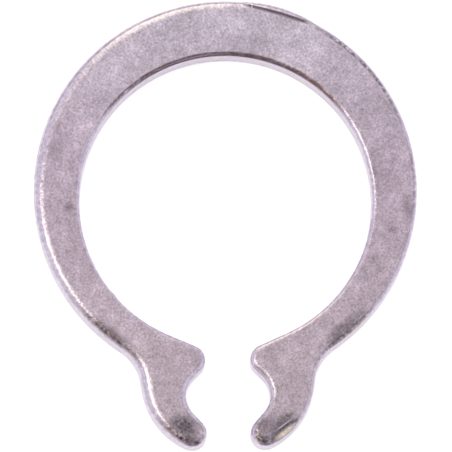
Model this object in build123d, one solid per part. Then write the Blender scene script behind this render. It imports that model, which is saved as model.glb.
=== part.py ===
from build123d import *

import os
from math import acos, atan2, degrees, radians, sqrt, tan

# External retaining ring for a shaft groove, stamped from spring steel strip.
# It lies flat: +Z is the bore axis, +Y points at the wide back, and the two
# lugs hook towards -Y. The origin is the bore's centre on the lower face.
# All sizes are in millimetres, and all angles are in degrees from +X.

# The strip
THICKNESS = 1.0

# The spring ring: a round bore inside an eccentric round outline
BORE_RADIUS = 4.65
BACK_WIDTH = 1.82  # radial width of the ring opposite its gap
ECCENTRICITY = 0.36  # how far the outline's centre lies behind the bore's

# The lugs: each is a hook whose open notch takes a pin of the pliers
NOSE_RADIUS = 0.47  # rounded end of the ring, above the notch
NOSE_GAP = 1.42  # free gap between the two noses
NOTCH_RADIUS = 0.8
NOTCH_SPACING = 1.07  # between the centres of the two notches
TIP_RADIUS = 0.47  # rounded end of the hook, below the notch
TIP_GAP = 1.39  # free gap between the two tips
BORE_FLANK = 0.94  # straight run from the bore to the nose
NOSE_FLANK = 0.35  # straight run from the nose to the notch
TIP_FLANK = 0.47  # straight run from the notch to the tip
LUG_BACK_RADIUS = 2.435  # outer side of each hook
LUGS_WIDTH = 5.53  # over both hooks
WAIST_RADIUS = 1.53  # hollow where a hook leaves the ring

# Upper edges, rolled over by the punch: a shallow band, then a steep one.
# The punch sat off centre, so the roll is widest on the sides that face away.
ROLL_WIDTH = 0.17
ROLL_SLOPE = 20.0
SHOULDER_WIDTH = 0.07
SHOULDER_SLOPE = 52.0
PUNCH_OFFSET = 0.06
PUNCH_TOWARD = -20.0

# Lower edges, only tumbled
EDGE_BREAK = 0.05

# Knocks: a flat dent near the right tip, and a lapped sliver on the outer edge
DENT_INSET = 0.27
DENT_TOWARD = -52.0
DENT_SLOPE = 24.0
LAP_WIDTH = 0.17
LAP_TOWARD = 73.0
LAP_SPREAD = 12.0
LAP_DEPTH = 0.06


def heading(vector):
    """The direction of a flat vector, in degrees."""
    return degrees(atan2(vector.Y, vector.X))


def at_angle(centre, radius, angle):
    """The point on a circle in a given direction from its centre."""
    return centre + Vector(radius, 0).rotate(Axis.Z, angle)


def mirrored(point):
    """The point's twin on the other side of the ring."""
    return Vector(-point.X, point.Y)


def centre_below(upper, x, distance):
    """The centre at a given x that lies a given distance below another."""
    return Vector(x, upper.Y - sqrt(distance**2 - (upper.X - x) ** 2))


def spaced(radius, other_radius, flank):
    """How far apart two circles lie when a straight flank crosses between them."""
    return sqrt((radius + other_radius) ** 2 + flank**2)


def flank_ends(centre, radius, turn, other, other_radius):
    """Where the straight flank between two arcs leaves one and joins the other.

    The first arc turns the way that turn says, and the other the opposite way.
    """
    line = other - centre
    slant = degrees(acos((radius + other_radius) / line.length))
    normal = line.normalized().rotate(Axis.Z, -turn * slant)
    return centre + normal * radius, other - normal * other_radius


def hollow_centre(ring, ring_radius, lug, lug_radius):
    """The centre, outboard of both, that lies the given distances from two centres."""
    line = lug - ring
    along = (ring_radius**2 - lug_radius**2 + line.length**2) / (2 * line.length)
    aside = sqrt(ring_radius**2 - along**2)
    unit = line.normalized()
    return ring + unit * along + unit.rotate(Axis.Z, 90) * aside


def arc(centre, start, end, turn):
    """The arc about a centre from start to end: turn is 1 anticlockwise, -1 clockwise."""
    sweep = (heading(end - centre) - heading(start - centre)) * turn % 360 * turn
    middle = centre + (start - centre).rotate(Axis.Z, sweep / 2)
    return ThreePointArc(start, middle, end)


OUTER_RADIUS = BORE_RADIUS + BACK_WIDTH - ECCENTRICITY
BORE = Vector(0, 0)
OUTER = Vector(0, ECCENTRICITY)
NOSE = centre_below(
    BORE, NOSE_GAP / 2 + NOSE_RADIUS, spaced(BORE_RADIUS, NOSE_RADIUS, BORE_FLANK)
)
NOTCH = centre_below(NOSE, NOTCH_SPACING / 2, spaced(NOSE_RADIUS, NOTCH_RADIUS, NOSE_FLANK))
TIP = centre_below(
    NOTCH, TIP_GAP / 2 + TIP_RADIUS, spaced(NOTCH_RADIUS, TIP_RADIUS, TIP_FLANK)
)


def lug_back_centre():
    """The centre of a hook's outer side, whose arc rolls into the tip's."""
    x = LUGS_WIDTH / 2 - LUG_BACK_RADIUS
    reach = LUG_BACK_RADIUS - TIP_RADIUS
    return Vector(x, TIP.Y + sqrt(reach**2 - (x - TIP.X) ** 2))


LUG_BACK = lug_back_centre()
WAIST = hollow_centre(
    OUTER, OUTER_RADIUS + WAIST_RADIUS, LUG_BACK, LUG_BACK_RADIUS + WAIST_RADIUS
)


def outline(grow=0.0):
    """The ring's outline as a face, moved outwards all round by grow."""
    outer = OUTER_RADIUS + grow
    waist = WAIST_RADIUS - grow
    back = LUG_BACK_RADIUS + grow
    tip = TIP_RADIUS + grow
    notch = NOTCH_RADIUS - grow
    nose = NOSE_RADIUS + grow
    bore = BORE_RADIUS - grow
    ring_side = OUTER + (WAIST - OUTER).normalized() * outer
    waist_end = WAIST + (LUG_BACK - WAIST).normalized() * waist
    back_end = TIP + (TIP - LUG_BACK).normalized() * tip
    tip_end, notch_start = flank_ends(TIP, tip, -1, NOTCH, notch)
    notch_end, nose_start = flank_ends(NOTCH, notch, 1, NOSE, nose)
    nose_end, bore_side = flank_ends(NOSE, nose, -1, BORE, bore)
    lug = [
        arc(WAIST, ring_side, waist_end, 1),
        arc(LUG_BACK, waist_end, back_end, -1),
        arc(TIP, back_end, tip_end, -1),
        Line(tip_end, notch_start),
        arc(NOTCH, notch_start, notch_end, 1),
        Line(notch_end, nose_start),
        arc(NOSE, nose_start, nose_end, -1),
        Line(nose_end, bore_side),
    ]
    other_lug = [edge.mirror(Plane.YZ) for edge in lug]
    outer_arc = arc(OUTER, ring_side, mirrored(ring_side), 1)
    bore_arc = arc(BORE, bore_side, mirrored(bore_side), 1)
    face = Face(Wire(lug + other_lug + [outer_arc, bore_arc]))
    return face if face.normal_at().Z > 0 else -face


def roll_cutter(inset, slope):
    """What one band of the roll takes off: all above a slope round the whole edge.

    The band meets the upper face at inset from the outline, shifted with the
    punch, and starts clear of the outline on every side.
    """
    clear = 2 * PUNCH_OFFSET
    drop = (inset + clear) * tan(radians(slope))
    foot = Pos(0, 0, THICKNESS - drop) * outline(clear)
    head = Pos(0, 0, THICKNESS) * outline(-inset)
    kept = loft([foot, head], ruled=True)
    shift = at_angle(Vector(0, 0), PUNCH_OFFSET, PUNCH_TOWARD)
    room = Pos(0, 0, THICKNESS - drop) * extrude(outline(2 * clear), drop)
    return room - Pos(shift.X, shift.Y) * kept


def dent_cutter():
    """A flat facet across the edge of the right hook, near its tip."""
    middle = at_angle(LUG_BACK, LUG_BACK_RADIUS - DENT_INSET, DENT_TOWARD)
    size = LUG_BACK_RADIUS
    block = Pos(0, 0, size / 2) * Box(size, size, size)
    tilted = Rot(0, 0, DENT_TOWARD) * Rot(0, DENT_SLOPE, 0) * block
    return Pos(middle.X, middle.Y, THICKNESS) * tilted


def lap_cutter():
    """A shallow ledge along the outer edge, whose inner wall runs out at each end."""
    first = at_angle(OUTER, OUTER_RADIUS, LAP_TOWARD - LAP_SPREAD)
    inner = at_angle(OUTER, OUTER_RADIUS - LAP_WIDTH, LAP_TOWARD)
    last = at_angle(OUTER, OUTER_RADIUS, LAP_TOWARD + LAP_SPREAD)
    outer = at_angle(OUTER, OUTER_RADIUS + LAP_WIDTH, LAP_TOWARD)
    sliver = Face(Wire([ThreePointArc(first, inner, last), ThreePointArc(last, outer, first)]))
    return Pos(0, 0, THICKNESS - LAP_DEPTH) * extrude(sliver, THICKNESS, dir=(0, 0, 1))


def retaining_ring():
    """The finished ring: blank, tumbled and rolled edges, then its knocks."""
    ring = extrude(outline(), THICKNESS)
    ring = fillet(ring.faces().sort_by(Axis.Z)[0].edges(), EDGE_BREAK)
    ring -= roll_cutter(ROLL_WIDTH, ROLL_SLOPE)
    ring -= roll_cutter(SHOULDER_WIDTH, SHOULDER_SLOPE)
    return ring - dent_cutter() - lap_cutter()


os.makedirs("parts", exist_ok=True)
ring = retaining_ring()
ring.label = "retaining_ring"
export_step(ring, "parts/retaining_ring.step")
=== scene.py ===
from math import acos, atan2, cos, hypot, pi, radians, sin, sqrt

import bmesh
import bpy
import numpy as np
from mathutils import Matrix, Vector


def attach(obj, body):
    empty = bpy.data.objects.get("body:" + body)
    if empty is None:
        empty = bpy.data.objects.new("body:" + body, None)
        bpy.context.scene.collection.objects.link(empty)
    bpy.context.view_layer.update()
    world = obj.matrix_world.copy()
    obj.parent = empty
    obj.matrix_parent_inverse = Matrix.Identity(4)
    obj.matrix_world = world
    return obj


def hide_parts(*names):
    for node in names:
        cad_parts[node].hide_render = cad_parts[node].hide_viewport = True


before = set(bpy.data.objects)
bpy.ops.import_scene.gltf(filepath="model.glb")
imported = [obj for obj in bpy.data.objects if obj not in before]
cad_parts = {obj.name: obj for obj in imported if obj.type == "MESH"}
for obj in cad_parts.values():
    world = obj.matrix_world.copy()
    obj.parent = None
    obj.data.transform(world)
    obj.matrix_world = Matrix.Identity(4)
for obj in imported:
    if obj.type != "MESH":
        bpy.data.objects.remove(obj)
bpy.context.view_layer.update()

MM = 0.001

# ---------------------------------------------------------------- sizes, in millimetres
THICKNESS = 1.0
BORE_RADIUS = 4.65
BACK_WIDTH = 1.82
ECCENTRICITY = 0.36
NOSE_RADIUS = 0.47
NOSE_GAP = 1.42
NOTCH_RADIUS = 0.8
NOTCH_SPACING = 1.07
TIP_RADIUS = 0.47
TIP_GAP = 1.39
BORE_FLANK = 0.94
NOSE_FLANK = 0.35
TIP_FLANK = 0.47
LUG_BACK_RADIUS = 2.435
LUGS_WIDTH = 5.53
WAIST_RADIUS = 1.53
EDGE_BREAK = 0.05

# The rolled upper edge: its mean width, and how much wider it is towards one side.
# The bore's roll is wider on the lugs, below LUG_ROLL_FROM.
OUTER_ROLL = 0.25
OUTER_ROLL_SWING = 0.105
OUTER_ROLL_TOWARD = 172.0
BORE_ROLL = 0.155
BORE_ROLL_SWING = 0.04
BORE_ROLL_TOWARD = 250.0
LUG_ROLL_GAIN = 0.045
LUG_ROLL_FROM = -4.0
ROLL_DROP_SHARE = 0.6
ROLL_DROP_BASE = 0.03
ROLL_WANDER = 0.03
WANDER_SCALE = 2600.0
WANDER_SEED = 4.0
FLAT_MARGIN = 0.44

# The roll is wider still on the outer side of the left hook
HOOK_ROLL = 0.05
HOOK_ROLL_AT = (-2.3, -5.9)
HOOK_ROLL_REACH = 1.0

# The dent near the right tip, and the lapped sliver on the outer edge
DENT_INSET = 0.27
DENT_TOWARD = -52.0
DENT_LENGTH = 1.25
DENT_WIDTH = 0.3
DENT_DEPTH = 0.055
LAP_WIDTH = 0.17
LAP_TOWARD = 73.0
LAP_SPREAD = 12.0
LAP_SWELL = 0.06
LAP_LINE = 0.038
LAP_DEPTH = 0.06

# Small swellings of the outline: x, y, height, spread
SWELLINGS = [(-3.59, -3.0, 0.03, 0.12), (-2.76, -5.75, 0.02, 0.1)]

# Spacing of points along the outline, and the last row of each part of the section
OUTLINE_STEP = 0.034
BREAK_TOP = 4
WALL_TOP = 7
ROLL_TOP = 27
LAST_ROW = 32


# ---------------------------------------------------------------- the outline
def centre_below(upper, x, distance):
    """The centre at a given x that lies a given distance below another."""
    return np.array([x, upper[1] - sqrt(distance**2 - (upper[0] - x) ** 2)])


def spaced(radius, other_radius, flank):
    """How far apart two circles lie when a straight flank crosses between them."""
    return hypot(radius + other_radius, flank)


OUTER_RADIUS = BORE_RADIUS + BACK_WIDTH - ECCENTRICITY
BORE = np.array([0.0, 0.0])
OUTER = np.array([0.0, ECCENTRICITY])
NOSE = centre_below(
    BORE, NOSE_GAP / 2 + NOSE_RADIUS, spaced(BORE_RADIUS, NOSE_RADIUS, BORE_FLANK)
)
NOTCH = centre_below(NOSE, NOTCH_SPACING / 2, spaced(NOSE_RADIUS, NOTCH_RADIUS, NOSE_FLANK))
TIP = centre_below(
    NOTCH, TIP_GAP / 2 + TIP_RADIUS, spaced(NOTCH_RADIUS, TIP_RADIUS, TIP_FLANK)
)
LUG_BACK_X = LUGS_WIDTH / 2 - LUG_BACK_RADIUS
LUG_BACK = np.array([
    LUG_BACK_X,
    TIP[1] + sqrt((LUG_BACK_RADIUS - TIP_RADIUS) ** 2 - (LUG_BACK_X - TIP[0]) ** 2),
])


def unit(vector):
    return vector / np.hypot(*vector)


def waist_centre():
    """The hollow's centre, outboard of the ring and of the hook's outer side."""
    ring_reach = OUTER_RADIUS + WAIST_RADIUS
    lug_reach = LUG_BACK_RADIUS + WAIST_RADIUS
    line = LUG_BACK - OUTER
    length = np.hypot(*line)
    along = (ring_reach**2 - lug_reach**2 + length**2) / (2 * length)
    aside = sqrt(ring_reach**2 - along**2)
    way = unit(line)
    return OUTER + way * along + np.array([-way[1], way[0]]) * aside


WAIST = waist_centre()


def flank_ends(centre, radius, turn, other, other_radius):
    """Where the straight flank between two arcs leaves one and joins the other."""
    line = other - centre
    slant = acos((radius + other_radius) / np.hypot(*line))
    angle = atan2(line[1], line[0]) - turn * slant
    normal = np.array([cos(angle), sin(angle)])
    return centre + normal * radius, other - normal * other_radius


def arc(centre, start, end, turn):
    """Points and outward normals along an arc, without its last point."""
    radius = np.hypot(*(start - centre))
    first = atan2(*(start - centre)[::-1])
    last = atan2(*(end - centre)[::-1])
    sweep = ((last - first) * turn % (2 * pi)) * turn
    count = max(3, round(abs(sweep) * radius / OUTLINE_STEP))
    angles = first + sweep * np.arange(count) / count
    spokes = np.column_stack([np.cos(angles), np.sin(angles)])
    return centre + spokes * radius, -turn * spokes


def flank(start, end):
    """Points and outward normals along a straight flank, without its last point."""
    way = unit(end - start)
    count = max(2, round(np.hypot(*(end - start)) / OUTLINE_STEP))
    steps = np.arange(count)[:, None] / count
    return start + (end - start) * steps, np.tile([-way[1], way[0]], (count, 1))


def right_half():
    """The right half of the outline, from the back's outer side round to its bore."""
    ring_side = OUTER + unit(WAIST - OUTER) * OUTER_RADIUS
    waist_end = WAIST + unit(LUG_BACK - WAIST) * WAIST_RADIUS
    back_end = TIP + unit(TIP - LUG_BACK) * TIP_RADIUS
    tip_end, notch_start = flank_ends(TIP, TIP_RADIUS, -1, NOTCH, NOTCH_RADIUS)
    notch_end, nose_start = flank_ends(NOTCH, NOTCH_RADIUS, 1, NOSE, NOSE_RADIUS)
    nose_end, bore_side = flank_ends(NOSE, NOSE_RADIUS, -1, BORE, BORE_RADIUS)
    outer_side = [
        arc(OUTER, OUTER + np.array([0, OUTER_RADIUS]), ring_side, -1),
        arc(WAIST, ring_side, waist_end, 1),
        arc(LUG_BACK, waist_end, back_end, -1),
        arc(TIP, back_end, tip_end, -1),
    ]
    inner_side = [
        flank(tip_end, notch_start),
        arc(NOTCH, notch_start, notch_end, 1),
        flank(notch_end, nose_start),
        arc(NOSE, nose_start, nose_end, -1),
        flank(nose_end, bore_side),
        arc(BORE, bore_side, BORE + np.array([0, BORE_RADIUS]), 1),
    ]
    stretches = outer_side + inner_side
    places = np.vstack([s[0] for s in stretches] + [[[0, BORE_RADIUS]]])
    outward = np.vstack([s[1] for s in stretches] + [[[0, -1]]])
    inner = np.ones(len(places))
    inner[: sum(len(s[0]) for s in outer_side)] = 0
    return places, outward, inner


def whole_outline():
    """The closed outline: places, outward normals, and 1 on the bore's side."""
    places, outward, inner = right_half()
    twin = slice(-2, 0, -1)
    flip = np.array([-1, 1])
    return (
        np.vstack([places, places[twin] * flip]),
        np.vstack([outward, outward[twin] * flip]),
        np.concatenate([inner, inner[twin]]),
    )


def smoothed(values, reach):
    """Values along the closed outline, blurred over a number of points."""
    steps = np.arange(-3 * reach, 3 * reach + 1)
    weights = np.exp(-0.5 * (steps / reach) ** 2)
    wrapped = np.concatenate([values[-3 * reach:], values, values[: 3 * reach]])
    return np.convolve(wrapped, weights / weights.sum(), "valid")


def swing(outward, mean, amount, toward):
    """A roll width that is largest where the edge faces a given direction."""
    way = np.array([cos(radians(toward)), sin(radians(toward))])
    return mean + amount * outward @ way


def bump_at(places, x, y, height, spread):
    """A small swelling of the outline about one place."""
    distance = np.hypot(places[:, 0] - x, places[:, 1] - y)
    return height * np.exp(-((distance / spread) ** 2))


def outline_mesh():
    """The outline as a closed loop of edges that carries what the section needs."""
    places, outward, inner = whole_outline()
    outer_width = swing(outward, OUTER_ROLL, OUTER_ROLL_SWING, OUTER_ROLL_TOWARD)
    bore_width = swing(outward, BORE_ROLL, BORE_ROLL_SWING, BORE_ROLL_TOWARD)
    on_lug = np.clip(LUG_ROLL_FROM - places[:, 1], 0, 1)
    bore_width = bore_width + LUG_ROLL_GAIN * on_lug
    outer_width = outer_width + bump_at(places, *HOOK_ROLL_AT, HOOK_ROLL, HOOK_ROLL_REACH)
    roll = smoothed(np.where(inner > 0, bore_width, outer_width), 8)
    turn = np.degrees(np.arctan2(places[:, 1] - ECCENTRICITY, places[:, 0])) - LAP_TOWARD
    lap = np.where(inner > 0, 0, np.clip(1 - (turn / LAP_SPREAD) ** 2, 0, 1))
    swell = sum(bump_at(places, *swelling) for swelling in SWELLINGS) + LAP_SWELL * lap
    mesh = bpy.data.meshes.new("ring_outline")
    points = [(x * MM, y * MM, 0) for x, y in places]
    loop = [(i, (i + 1) % len(points)) for i in range(len(points))]
    mesh.from_pydata(points, loop, [])
    flat_normals = np.column_stack([outward, np.zeros(len(outward))])
    seats = np.column_stack([places * MM, np.zeros(len(places))])
    for name, values in (("seat", seats), ("outward", flat_normals)):
        layer = mesh.attributes.new(name, "FLOAT_VECTOR", "POINT")
        layer.data.foreach_set("vector", values.astype(np.float32).ravel())
    for name, values in (("roll", roll * MM), ("lap", lap), ("swell", swell * MM)):
        layer = mesh.attributes.new(name, "FLOAT", "POINT")
        layer.data.foreach_set("value", values.astype(np.float32))
    return mesh


# ---------------------------------------------------------------- node helpers
def math_node(tree, operation, *values):
    """A Math node on sockets or numbers; returns its output."""
    node = tree.nodes.new("ShaderNodeMath")
    node.operation = operation
    for socket, value in zip(node.inputs, values):
        feed(tree, socket, value)
    return node.outputs[0]


def add(tree, first, *others):
    for other in others:
        first = math_node(tree, "ADD", first, other)
    return first


def times(tree, first, *others):
    for other in others:
        first = math_node(tree, "MULTIPLY", first, other)
    return first


def minus(tree, first, second):
    return math_node(tree, "SUBTRACT", first, second)


def over(tree, first, second):
    return math_node(tree, "DIVIDE", first, second)


def feed(tree, socket, value):
    """Sets a socket to a number, or links it to another socket."""
    if isinstance(value, bpy.types.NodeSocket):
        tree.links.new(value, socket)
    else:
        socket.default_value = value


def map_range(tree, value, low, high, to_low, to_high, smooth=False):
    """A clamped Map Range; returns its output."""
    node = tree.nodes.new("ShaderNodeMapRange")
    node.interpolation_type = "SMOOTHSTEP" if smooth else "LINEAR"
    for socket, given in zip(node.inputs, (value, low, high, to_low, to_high)):
        feed(tree, socket, given)
    return node.outputs[0]


def attribute(tree, name, kind="FLOAT"):
    node = tree.nodes.new("GeometryNodeInputNamedAttribute")
    node.data_type = kind
    node.inputs["Name"].default_value = name
    return node.outputs["Attribute"]


def vector_node(tree, operation, *values):
    node = tree.nodes.new("ShaderNodeVectorMath")
    node.operation = operation
    for socket, value in zip(node.inputs, values):
        feed(tree, socket, value)
    return node.outputs[0]


def dot_node(tree, vector, way):
    """How far a vector reaches in a fixed direction."""
    node = tree.nodes.new("ShaderNodeVectorMath")
    node.operation = "DOT_PRODUCT"
    tree.links.new(vector, node.inputs[0])
    node.inputs[1].default_value = way
    return node.outputs["Value"]


def combine(tree, x, y, z):
    node = tree.nodes.new("ShaderNodeCombineXYZ")
    for socket, value in zip(node.inputs, (x, y, z)):
        feed(tree, socket, value)
    return node.outputs[0]


def separate(tree, vector):
    node = tree.nodes.new("ShaderNodeSeparateXYZ")
    tree.links.new(vector, node.inputs[0])
    return node.outputs


# ---------------------------------------------------------------- the ring's body
# The section tree's named inputs: lengths in metres, and one share
SIZES = {
    "Thickness": THICKNESS * MM,
    "Edge Break": EDGE_BREAK * MM,
    "Flat Margin": FLAT_MARGIN * MM,
    "Drop Share": ROLL_DROP_SHARE,
    "Drop Base": ROLL_DROP_BASE * MM,
    "Roll Wander": ROLL_WANDER * MM,
    "Lap Depth": LAP_DEPTH * MM,
    "Lap Inset": LAP_WIDTH * MM,
    "Lap Line": LAP_LINE * MM,
    "Dent Length": DENT_LENGTH * MM,
    "Dent Width": DENT_WIDTH * MM,
    "Dent Depth": DENT_DEPTH * MM,
}


def store(tree, geometry, name, value):
    """Leaves a value on the points of a geometry under a name."""
    node = tree.nodes.new("GeometryNodeStoreNamedAttribute")
    node.inputs["Name"].default_value = name
    tree.links.new(geometry, node.inputs["Geometry"])
    tree.links.new(value, node.inputs["Value"])
    return node.outputs[0]


def swept_band(tree, outline, offset):
    """A band of numbered rows of points, swept round the outline."""
    strip = tree.nodes.new("GeometryNodeMeshLine")
    strip.inputs["Count"].default_value = LAST_ROW + 1
    tree.links.new(offset, strip.inputs["Offset"])
    index = tree.nodes.new("GeometryNodeInputIndex").outputs[0]
    numbered = store(tree, strip.outputs[0], "row", index)
    strip_curve = tree.nodes.new("GeometryNodeMeshToCurve")
    tree.links.new(numbered, strip_curve.inputs[0])
    outline_curve = tree.nodes.new("GeometryNodeMeshToCurve")
    tree.links.new(outline, outline_curve.inputs[0])
    band = tree.nodes.new("GeometryNodeCurveToMesh")
    tree.links.new(outline_curve.outputs[0], band.inputs["Curve"])
    tree.links.new(strip_curve.outputs[0], band.inputs["Profile Curve"])
    return band.outputs[0]


def roll_width(tree, given, seat):
    """The roll's width along the outline, which wanders a little."""
    wander = tree.nodes.new("ShaderNodeTexNoise")
    wander.noise_dimensions = "4D"
    wander.inputs["Scale"].default_value = WANDER_SCALE
    wander.inputs["Detail"].default_value = 3.0
    tree.links.new(seat, wander.inputs["Vector"])
    tree.links.new(given["Seed"], wander.inputs["W"])
    uneven = times(tree, minus(tree, wander.outputs[0], 0.5), 2.0, given["Roll Wander"])
    return add(tree, attribute(tree, "roll"), uneven)


def section_inset(tree, given, row, roll):
    """How far in from the outline a row lies, with and without the lower edge's break."""
    break_turn = map_range(tree, row, 0, BREAK_TOP, 0, pi / 2)
    roll_turn = map_range(tree, row, WALL_TOP, ROLL_TOP, 0, pi / 2)
    margin_share = map_range(tree, row, ROLL_TOP, LAST_ROW, 0, 1)
    broken = times(tree, given["Edge Break"], minus(tree, 1, math_node(tree, "SINE", break_turn)))
    rolled = times(tree, roll, minus(tree, 1, math_node(tree, "COSINE", roll_turn)))
    margin = times(tree, margin_share, minus(tree, given["Flat Margin"], roll))
    upper = add(tree, rolled, margin)
    return add(tree, broken, upper), upper


def section_height(tree, given, row, roll):
    """How high a row lies, before the marks are pressed in."""
    break_turn = map_range(tree, row, 0, BREAK_TOP, 0, pi / 2)
    wall_share = map_range(tree, row, BREAK_TOP, WALL_TOP, 0, 1)
    roll_turn = map_range(tree, row, WALL_TOP, ROLL_TOP, 0, pi / 2)
    drop = math_node(tree, "MULTIPLY_ADD", roll, given["Drop Share"], given["Drop Base"])
    broken = times(tree, given["Edge Break"], minus(tree, 1, math_node(tree, "COSINE", break_turn)))
    wall = minus(tree, minus(tree, given["Thickness"], given["Edge Break"]), drop)
    rolled = times(tree, drop, math_node(tree, "SINE", roll_turn))
    return add(tree, broken, add(tree, times(tree, wall, wall_share), rolled))


def lap_groove(tree, given, row, inset):
    """The crease behind the lapped sliver: 1 on its line, 0 away from it."""
    lap = attribute(tree, "lap")
    reach = math_node(tree, "SQRT", lap)
    line = math_node(tree, "MULTIPLY_ADD", given["Lap Inset"], reach, attribute(tree, "swell"))
    off_line = over(tree, minus(tree, inset, line), given["Lap Line"])
    squared = math_node(tree, "POWER", math_node(tree, "ABSOLUTE", off_line), 2)
    groove = math_node(tree, "EXPONENT", times(tree, squared, -1))
    groove = times(tree, groove, map_range(tree, lap, 0.15, 0.5, 0, 1))
    return times(tree, groove, map_range(tree, row, WALL_TOP, WALL_TOP + 3, 0, 1))


def dent_scoop(tree, given, row, flat_place):
    """How deep the scooped dent near the right tip goes at a place."""
    toward = radians(DENT_TOWARD)
    spoke = np.array([cos(toward), sin(toward)])
    middle = (LUG_BACK + (LUG_BACK_RADIUS - DENT_INSET + DENT_WIDTH / 4) * spoke) * MM
    away = vector_node(tree, "SUBTRACT", flat_place, combine(tree, *middle.tolist(), 0.0))
    across = dot_node(tree, away, (cos(toward), sin(toward), 0))
    along = dot_node(tree, away, (-sin(toward), cos(toward), 0))
    across = over(tree, across, times(tree, given["Dent Width"], 0.5))
    along = over(tree, along, times(tree, given["Dent Length"], 0.5))
    far = add(tree, times(tree, across, across), times(tree, along, along))
    inside = math_node(tree, "MAXIMUM", minus(tree, 1, far), 0)
    upper = map_range(tree, row, WALL_TOP + 3, WALL_TOP + 6, 0, 1)
    return times(tree, inside, given["Dent Depth"], upper)


def flat_face(tree, band, row, row_number, level):
    """The flat face inside one border row of the band, at its own level."""
    border = tree.nodes.new("GeometryNodeMeshToCurve")
    tree.links.new(band, border.inputs["Mesh"])
    off_row = math_node(tree, "ABSOLUTE", minus(tree, row, row_number))
    tree.links.new(math_node(tree, "LESS_THAN", off_row, 0.25), border.inputs["Selection"])
    fill = tree.nodes.new("GeometryNodeFillCurve")
    tree.links.new(border.outputs[0], fill.inputs["Curve"])
    level_face = tree.nodes.new("GeometryNodeSetPosition")
    tree.links.new(fill.outputs[0], level_face.inputs["Geometry"])
    here = separate(tree, tree.nodes.new("GeometryNodeInputPosition").outputs[0])
    tree.links.new(combine(tree, here[0], here[1], level), level_face.inputs["Position"])
    return level_face.outputs[0]


def closed_body(tree, band, row, given, steel):
    """The band and its two flat faces, merged into one body of steel."""
    joined = tree.nodes.new("GeometryNodeJoinGeometry")
    tree.links.new(band, joined.inputs[0])
    tree.links.new(flat_face(tree, band, row, LAST_ROW, given["Thickness"]), joined.inputs[0])
    tree.links.new(flat_face(tree, band, row, 0, 0.0), joined.inputs[0])
    merged = tree.nodes.new("GeometryNodeMergeByDistance")
    tree.links.new(joined.outputs[0], merged.inputs["Geometry"])
    merged.inputs["Distance"].default_value = 0.0002 * MM
    realized = tree.nodes.new("GeometryNodeRealizeInstances")
    tree.links.new(merged.outputs[0], realized.inputs[0])
    finished = tree.nodes.new("GeometryNodeSetMaterial")
    finished.inputs["Material"].default_value = steel
    tree.links.new(realized.outputs[0], finished.inputs["Geometry"])
    return finished.outputs[0]


def ring_tree(steel):
    """The section that runs round the outline, and the two flat faces it borders."""
    tree = bpy.data.node_groups.new("ring_section", "GeometryNodeTree")
    face = tree.interface
    face.new_socket("Outline", in_out="INPUT", socket_type="NodeSocketGeometry")
    for name in (*SIZES, "Seed"):
        face.new_socket(name, in_out="INPUT", socket_type="NodeSocketFloat")
    face.new_socket("Ring", in_out="OUTPUT", socket_type="NodeSocketGeometry")
    given = tree.nodes.new("NodeGroupInput").outputs
    result = tree.nodes.new("NodeGroupOutput").inputs["Ring"]

    row = attribute(tree, "row")
    seat = attribute(tree, "seat", "FLOAT_VECTOR")
    band = swept_band(tree, given["Outline"], given["Thickness"])
    roll = roll_width(tree, given, seat)
    inset, upper_inset = section_inset(tree, given, row, roll)
    groove = lap_groove(tree, given, row, inset)

    shift = tree.nodes.new("ShaderNodeVectorMath")
    shift.operation = "SCALE"
    tree.links.new(attribute(tree, "outward", "FLOAT_VECTOR"), shift.inputs[0])
    tree.links.new(minus(tree, attribute(tree, "swell"), inset), shift.inputs["Scale"])
    flat_place = vector_node(tree, "ADD", seat, shift.outputs[0])
    height = section_height(tree, given, row, roll)
    height = minus(tree, height, times(tree, groove, given["Lap Depth"]))
    height = minus(tree, height, dent_scoop(tree, given, row, flat_place))

    x, y, _ = separate(tree, flat_place)
    placed = tree.nodes.new("GeometryNodeSetPosition")
    tree.links.new(band, placed.inputs["Geometry"])
    tree.links.new(combine(tree, x, y, height), placed.inputs["Position"])
    on_roll = map_range(tree, over(tree, upper_inset, roll), 1.0, 0.0, 0, 1)
    on_break = map_range(tree, row, 0, BREAK_TOP, 0, 1)
    shoulder = math_node(tree, "MINIMUM", on_roll, on_break)
    marked = store(tree, placed.outputs[0], "shoulder", shoulder)
    # The groove's share is also left on the mesh for the painted shade in the crease.
    marked = store(tree, marked, "crease", groove)
    tree.links.new(closed_body(tree, marked, row, given, steel), result)
    return tree


def ring_body(steel):
    """The ring as one closed mesh, made by the section tree round the outline."""
    base = bpy.data.objects.new("ring_base", outline_mesh())
    bpy.context.scene.collection.objects.link(base)
    modifier = base.modifiers.new("section", "NODES")
    modifier.node_group = ring_tree(steel)
    sockets = {s.name: s.identifier for s in modifier.node_group.interface.items_tree}
    for name, value in SIZES.items():
        modifier[sockets[name]] = float(value)
    modifier[sockets["Seed"]] = WANDER_SEED
    depsgraph = bpy.context.evaluated_depsgraph_get()
    mesh = bpy.data.meshes.new_from_object(base.evaluated_get(depsgraph), depsgraph=depsgraph)
    base.modifiers.remove(modifier)
    bpy.data.objects.remove(base)
    shell = bmesh.new()
    shell.from_mesh(mesh)
    bmesh.ops.recalc_face_normals(shell, faces=shell.faces)
    if shell.calc_volume(signed=True) < 0:
        bmesh.ops.reverse_faces(shell, faces=shell.faces)
    shell.to_mesh(mesh)
    shell.free()
    mesh.shade_smooth()
    mesh.name = "ring_body"
    ring = bpy.data.objects.new("ring_body", mesh)
    bpy.context.scene.collection.objects.link(ring)
    return ring


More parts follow.
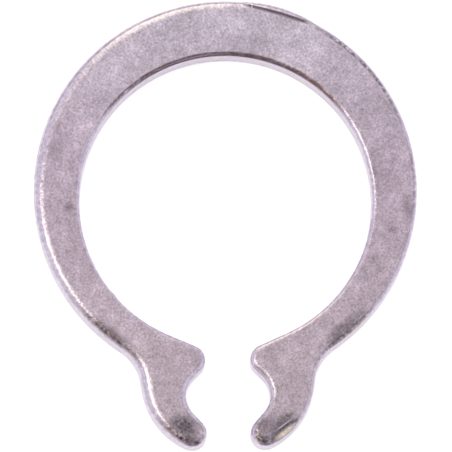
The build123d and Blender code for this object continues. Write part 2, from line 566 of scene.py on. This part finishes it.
# ---------------------------------------------------------------- the steel's finish
def noise(tree, coords, size_mm, detail, roughness=0.5, offset=0.0):
    """Noise with features of about the given size."""
    node = tree.nodes.new("ShaderNodeTexNoise")
    node.noise_dimensions = "4D"
    node.inputs["Scale"].default_value = 1 / (size_mm * MM)
    node.inputs["Detail"].default_value = detail
    node.inputs["Roughness"].default_value = roughness
    node.inputs["W"].default_value = offset
    tree.links.new(coords, node.inputs["Vector"])
    return node.outputs[0]


def mix_colour(tree, share, first, second, blend="MIX"):
    node = tree.nodes.new("ShaderNodeMix")
    node.data_type = "RGBA"
    node.blend_type = blend
    feed(tree, node.inputs["Factor"], share)
    a = [s for s in node.inputs if s.name == "A" and s.type == "RGBA"][0]
    b = [s for s in node.inputs if s.name == "B" and s.type == "RGBA"][0]
    for socket, value in ((a, first), (b, second)):
        if isinstance(value, bpy.types.NodeSocket):
            tree.links.new(value, socket)
        else:
            socket.default_value = (*value, 1)
    return [s for s in node.outputs if s.type == "RGBA"][0]


# Marks on the upper side, in four lists. Each mark is its x, y, half length and half width
# in millimetres, its turn in degrees and its strength.
# Dark patches: darker places on the flat; the last one lies along the dent and is painted shade in
# its hollow.
DARK_PATCHES = [
    (-1.4, -7.2, 0.6, 0.45, -35, 1.0),
    (-1.3, -7.6, 0.5, 0.2, -10, 0.9),
    (1.2, -7.25, 0.5, 0.4, 35, 0.6),
    (1.05, -7.65, 0.4, 0.18, 10, 0.9),
    (1.7, -7.1, 0.6, 0.2, 38, 0.85),
    (-3.7, -4.25, 1.3, 0.25, -38, 0.8),
    (3.7, -4.2, 1.1, 0.32, 40, 0.75),
    (-5.0, -0.15, 0.2, 0.18, 0, 0.5),
    (5.8, -0.25, 0.2, 0.5, 10, 0.5),
    (5.3, -1.0, 0.2, 0.18, 0, 0.4),
    (4.6, -1.9, 0.25, 0.2, 0, 0.35),
    (1.75, -7.4, 0.75, 0.24, 38, 1.0),
]
# Worn and shaded edges: where the border of the roll is broken and brown, partly wear and partly
# painted shade.
WORN_AND_SHADED_EDGES = [
    (4.3, 4.3, 2.6, 1.0, -52, 0.85),
    (6.1, 0.9, 1.6, 0.5, 90, 0.6),
    (-2.9, 3.7, 2.0, 0.7, 42, 0.8),
    (-3.9, -4.4, 1.8, 0.6, -42, 0.9),
    (3.9, -4.4, 1.6, 0.6, 42, 0.9),
    (-1.4, -7.5, 0.9, 0.7, -30, 1.0),
    (1.2, -7.5, 0.9, 0.7, 30, 1.0),
]
# Where the painted shade on the bore's upper edge starts, is full, eases and ends round the bore,
# in degrees from +X.
BORE_SHADE_ANGLES = (30, 48, 118, 146)
# Bright marks: a painted highlight along the dent's inner lip, and a short bright mark across the
# outer edge by the lap.
BRIGHT_MARKS = [
    (1.74, -7.2, 0.36, 0.025, 36, 0.8),
    (0.93, 6.3, 0.03, 0.1, 0, 0.8),
]
# Warm sheen: a painted warm highlight, bronze, in the dent and along the two shoulders.
WARM_SHEEN = [
    (1.77, -7.42, 0.52, 0.11, 38, 1.0),
    (-3.95, -4.5, 1.3, 0.12, -42, 0.9),
    (4.05, -4.25, 1.1, 0.14, 44, 0.8),
]


def region_share(tree, coords, regions, least):
    """How far a point lies in any of the regions, broken up by fine noise."""
    total = None
    for x, y, length, width, turn, strength in regions:
        placed = tree.nodes.new("ShaderNodeMapping")
        placed.vector_type = "TEXTURE"
        placed.inputs["Location"].default_value = (x * MM, y * MM, THICKNESS * MM)
        placed.inputs["Rotation"].default_value = (0, 0, radians(turn))
        placed.inputs["Scale"].default_value = (length * MM, width * MM, 0.6 * MM)
        tree.links.new(coords, placed.inputs["Vector"])
        reach = tree.nodes.new("ShaderNodeVectorMath")
        reach.operation = "LENGTH"
        tree.links.new(placed.outputs[0], reach.inputs[0])
        mark = map_range(tree, reach.outputs["Value"], 1.2, 0.25, 0, strength, smooth=True)
        total = mark if total is None else math_node(tree, "MAXIMUM", total, mark)
    broken = map_range(tree, noise(tree, coords, 0.09, 4, 0.7, 2.0), 0.3, 0.65, least, 1.0)
    return times(tree, total, broken)


def stored(tree, name):
    """A value that the section left on the mesh."""
    node = tree.nodes.new("ShaderNodeAttribute")
    node.attribute_name = name
    return node.outputs["Fac"]


def flat_colour(tree, coords, y, grain):
    """The matte flats: cloudy lilac grey with a fine grain, and painted light that makes them
    warmer towards the lugs and paler towards the back.
    """
    cloud = noise(tree, coords, 1.3, 3, 0.55, 5.0)
    fleck = noise(tree, coords, 0.3, 3, 0.6, 8.0)
    cloudy = map_range(tree, cloud, 0.35, 0.65, 0, 1)
    colour = mix_colour(tree, cloudy, (0.485, 0.412, 0.488), (0.605, 0.522, 0.612))
    shade = map_range(tree, grain, 0.3, 0.7, 0.53, 1.47)
    shade = times(tree, shade, map_range(tree, fleck, 0.3, 0.7, 0.84, 1.16))
    colour = mix_colour(tree, 1.0, colour, combine_colour(tree, shade), "MULTIPLY")
    # Painted light: the flat's tone follows y, darkest near the middle and paler and cooler towards
    # the back, for how the light falls across it.
    from_lugs = map_range(tree, y, -6 * MM, 1 * MM, 0, 1)
    to_back = map_range(tree, y, 1 * MM, 5.5 * MM, 0, 1)
    painted_light_tint = mix_colour(tree, from_lugs, (1.01, 1.01, 0.985), (0.965, 0.943, 0.973))
    painted_light_tint = mix_colour(tree, to_back, painted_light_tint, (1.09, 1.135, 1.14))
    colour = mix_colour(tree, 1.0, colour, painted_light_tint, "MULTIPLY")
    # Dark patches darken the flat; along the dent this is painted shade.
    darkened = region_share(tree, coords, DARK_PATCHES, 0.35)
    return mix_colour(tree, darkened, colour, (0.075, 0.06, 0.075))


def worn_and_shaded_rim(tree, coords, shoulder):
    """How far a point lies on a broken brown border of the roll, partly wear and partly painted
    shade.
    """
    border = window(tree, shoulder, 0.0, 0.12, 0.5, 0.72)
    broken = map_range(tree, noise(tree, coords, 0.12, 3, 0.65, 11.0), 0.4, 0.55, 0, 1)
    return times(tree, border, broken, region_share(tree, coords, WORN_AND_SHADED_EDGES, 0.8))


def steel_colour(tree, coords, shoulder, edge, grain, bead):
    """The flats' colour, the paler roll over it, and then the marks."""
    place = separate(tree, coords)
    colour = flat_colour(tree, coords, place[1], grain)
    beaded = map_range(tree, bead, 0.35, 0.65, 0, 1)
    rolled = mix_colour(tree, beaded, (0.64, 0.57, 0.68), (0.86, 0.785, 0.90))
    colour = mix_colour(tree, times(tree, edge, 0.85), colour, rolled)
    marks = (
        # Worn edges with painted shade
        (worn_and_shaded_rim(tree, coords, shoulder), (0.11, 0.08, 0.06)),
        # Painted shade on the bore's upper edge
        (bore_edge_painted_shade(tree, place, shoulder, bead), (0.27, 0.19, 0.19)),
        # Painted shade: the lap's groove is darkened along its line, where shade falls in the
        # crease.
        (times(tree, stored(tree, "crease"), 0.75), (0.16, 0.12, 0.11)),
        # Painted highlight: warm bronze sheen in the dent and on the shoulders.
        (region_share(tree, coords, WARM_SHEEN, 0.35), (0.72, 0.64, 0.54)),
        # Painted highlight on the dent's lip, and a bright mark by the lap
        (region_share(tree, coords, BRIGHT_MARKS, 0.8), (0.95, 0.93, 0.90)),
    )
    for share, mark in marks:
        colour = mix_colour(tree, share, colour, mark)
    return colour


def bump(tree, distance, strength, height):
    """A bump of a given depth in millimetres."""
    node = tree.nodes.new("ShaderNodeBump")
    node.inputs["Distance"].default_value = distance * MM
    tree.links.new(strength, node.inputs["Strength"])
    tree.links.new(height, node.inputs["Height"])
    return node


def steel_material():
    """Tumbled spring steel: matte flats with a fine grain, burnished rolled edges."""
    steel = bpy.data.materials.new("tumbled_steel")
    steel.use_nodes = True
    tree = steel.node_tree
    shader = tree.nodes["Principled BSDF"]
    coords = tree.nodes.new("ShaderNodeTexCoord").outputs["Object"]
    shoulder = stored(tree, "shoulder")
    edge = map_range(tree, shoulder, 0.05, 0.6, 0, 1, smooth=True)
    grain = noise(tree, coords, 0.068, 4, 0.8, 1.0)
    bead = noise(tree, coords, 0.12, 2, 0.6, 14.0)
    colour = steel_colour(tree, coords, shoulder, edge, grain, bead)
    tree.links.new(colour, shader.inputs["Base Color"])
    shader.inputs["Metallic"].default_value = 1.0
    roughness = map_range(tree, shoulder, 0, 0.12, 0.5, 0.2)
    tree.links.new(roughness, shader.inputs["Roughness"])
    fine = bump(tree, 0.008, map_range(tree, edge, 0, 1, 0.9, 0.2), grain)
    beaded = bump(tree, 0.012, map_range(tree, shoulder, 0, 0.2, 0.1, 0.7), bead)
    tree.links.new(fine.outputs[0], beaded.inputs["Normal"])
    tree.links.new(beaded.outputs[0], shader.inputs["Normal"])
    return steel


def window(tree, value, start, full, ease, end):
    """A share that rises from start to full and falls from ease to end."""
    rise = map_range(tree, value, start, full, 0, 1, smooth=True)
    fall = map_range(tree, value, ease, end, 1, 0, smooth=True)
    return times(tree, rise, fall)


def bore_edge_painted_shade(tree, place, shoulder, bead):
    """Painted shade: a dark band on the bore's upper rolled edge, standing in for the dark that the
    edge reflects there.

    Towards its left end a paler line splits it in two.
    """
    x, y, z = place
    radius = math_node(tree, "SQRT", add(tree, times(tree, x, x), times(tree, y, y)))
    outer, inner = (BORE_RADIUS + 0.35) * MM, (BORE_RADIUS + 0.25) * MM
    by_bore = map_range(tree, radius, outer, inner, 0, 1)
    angle = math_node(tree, "DEGREES", math_node(tree, "ARCTAN2", y, x))
    along = window(tree, angle, *BORE_SHADE_ANGLES)
    line = window(tree, shoulder, 0.36, 0.47, 0.6, 0.7)
    split = times(tree, line, map_range(tree, angle, 84, 98, 0, 0.85))
    across = window(tree, shoulder, 0.0, 0.2, 0.72, 0.97)
    across = times(tree, across, minus(tree, 1, split))
    upper = map_range(tree, z, 0.4 * MM, 0.5 * MM, 0, 1)
    mottled = map_range(tree, bead, 0.35, 0.55, 0.4, 0.95)
    return times(tree, by_bore, along, across, upper, mottled)


def combine_colour(tree, value):
    node = tree.nodes.new("ShaderNodeCombineColor")
    for socket in node.inputs:
        tree.links.new(value, socket)
    return node.outputs[0]


# ---------------------------------------------------------------- the studio
def floor_piece():
    """A white table that glows to the camera and the steel, and keeps a shadow."""
    side = 0.3
    mesh = bpy.data.meshes.new("table_top")
    corners = [(-side, -side, 0), (side, -side, 0), (side, side, 0), (-side, side, 0)]
    mesh.from_pydata([(x, y, -0.002 * MM) for x, y, _ in corners], [], [(0, 1, 2, 3)])
    table = bpy.data.objects.new("table_top", mesh)
    bpy.context.scene.collection.objects.link(table)
    paint = bpy.data.materials.new("table_white")
    paint.use_nodes = True
    tree = paint.node_tree
    tree.nodes.clear()
    diffuse = tree.nodes.new("ShaderNodeBsdfDiffuse")
    diffuse.inputs["Color"].default_value = (0.85, 0.85, 0.85, 1)
    glow = tree.nodes.new("ShaderNodeEmission")
    glow.inputs["Color"].default_value = (1, 1, 1, 1)
    path = tree.nodes.new("ShaderNodeLightPath")
    to_camera = times(tree, path.outputs["Is Camera Ray"], 0.62)
    to_steel = times(tree, path.outputs["Is Glossy Ray"], 0.42)
    tree.links.new(add(tree, to_camera, to_steel), glow.inputs["Strength"])
    both = tree.nodes.new("ShaderNodeAddShader")
    tree.links.new(diffuse.outputs[0], both.inputs[0])
    tree.links.new(glow.outputs[0], both.inputs[1])
    output = tree.nodes.new("ShaderNodeOutputMaterial")
    tree.links.new(both.outputs[0], output.inputs["Surface"])
    mesh.materials.append(paint)
    return table


def heading(azimuth, zenith):
    """The direction at an azimuth from +X and a zenith angle, in degrees."""
    a, z = radians(azimuth), radians(zenith)
    return (sin(z) * cos(a), sin(z) * sin(a), cos(z))


# Cards round the studio: azimuth, half width, nearest and farthest zenith angle and softness,
# all in degrees, and the light each adds, or takes away where it is negative
CARDS = [
    (182, 13, 10, 32, 4, (3.3, 3.05, 2.35)),
    (103, 18, 12, 66, 7, (0.76, 0.69, 0.36)),
    (105, 50, 74, 90, 5, (-0.34, -0.36, -0.42)),
    (222, 12, 22, 64, 6, (-0.30, -0.36, -0.46)),
    (276, 40, 5, 84, 6, (-0.46, -0.48, -0.51)),
]
STUDIO_BASE = (0.80, 0.785, 0.84)
STUDIO_DARK = (0.12, 0.092, 0.085)


def card_share(tree, way, azimuth, half_width, near, far, soft):
    """How far a direction lies on one card."""
    x, y, z = separate(tree, way)
    level = vector_node(tree, "NORMALIZE", combine(tree, x, y, 0.0))
    facing = dot_node(tree, level, (cos(radians(azimuth)), sin(radians(azimuth)), 0))

    def fade(value, outside, inside):
        """Rises from 0 to 1 between the cosines of two angles."""
        limits = cos(radians(outside)), cos(radians(inside))
        return map_range(tree, value, *limits, 0, 1, smooth=True)

    beside = fade(facing, half_width + soft, half_width - soft)
    below = fade(z, near - soft, near + soft)
    above = fade(z, far + soft, far - soft)
    return times(tree, beside, times(tree, below, above))


def studio_world():
    """The studio's light: an even room with bright and dark cards, white to the camera."""
    world = bpy.data.worlds.new("studio")
    bpy.context.scene.world = world
    world.use_nodes = True
    tree = world.node_tree
    tree.nodes.clear()
    seen = tree.nodes.new("ShaderNodeTexCoord").outputs["Generated"]
    way = vector_node(tree, "NORMALIZE", seen)
    total = combine(tree, *STUDIO_BASE)
    for azimuth, half_width, near, far, soft, colour in CARDS:
        patch = tree.nodes.new("ShaderNodeVectorMath")
        patch.operation = "SCALE"
        patch.inputs[0].default_value = colour
        share = card_share(tree, way, azimuth, half_width, near, far, soft)
        tree.links.new(share, patch.inputs["Scale"])
        total = vector_node(tree, "ADD", total, patch.outputs[0])
    total = vector_node(tree, "MAXIMUM", total, combine(tree, *STUDIO_DARK))
    room = tree.nodes.new("ShaderNodeBackground")
    tree.links.new(total, room.inputs["Color"])
    white = tree.nodes.new("ShaderNodeBackground")
    white.inputs["Color"].default_value = (1, 1, 1, 1)
    path = tree.nodes.new("ShaderNodeLightPath")
    mix = tree.nodes.new("ShaderNodeMixShader")
    tree.links.new(path.outputs["Is Camera Ray"], mix.inputs[0])
    tree.links.new(room.outputs[0], mix.inputs[1])
    tree.links.new(white.outputs[0], mix.inputs[2])
    output = tree.nodes.new("ShaderNodeOutputWorld")
    tree.links.new(mix.outputs[0], output.inputs["Surface"])


# The view: nearly straight down, leaning a little towards the lugs
VIEW_TILT = 8.0
VIEW_TOWARD = 262.0
VIEW_ROLL = 0.7
VIEW_DISTANCE = 249.2 * MM
VIEW_WIDTH = 14.44 * MM
VIEW_AIM = (0.0213 * MM, -0.6703 * MM, 0.0)


def studio_camera():
    """The camera, aimed so that the ring nearly fills the square frame."""
    back = Vector(heading(VIEW_TOWARD, VIEW_TILT))
    lean = Matrix.Rotation(radians(VIEW_TILT), 3, Vector((0, 0, 1)).cross(back))
    twist = Matrix.Rotation(-radians(VIEW_ROLL), 3, back)
    turned = (twist @ lean).to_4x4()
    data = bpy.data.cameras.new("studio_camera")
    data.sensor_width = 36.0
    data.lens = data.sensor_width * VIEW_DISTANCE / VIEW_WIDTH
    data.clip_start = 0.01
    camera = bpy.data.objects.new("studio_camera", data)
    camera.matrix_world = Matrix.Translation(Vector(VIEW_AIM) + back * VIEW_DISTANCE) @ turned
    bpy.context.scene.collection.objects.link(camera)
    bpy.context.scene.camera = camera


# ---------------------------------------------------------------- the scene
bpy.context.scene.view_settings.view_transform = "Standard"
ring = ring_body(steel_material())
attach(ring, "root")
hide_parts("retaining_ring")
floor_piece()
studio_world()
studio_camera()
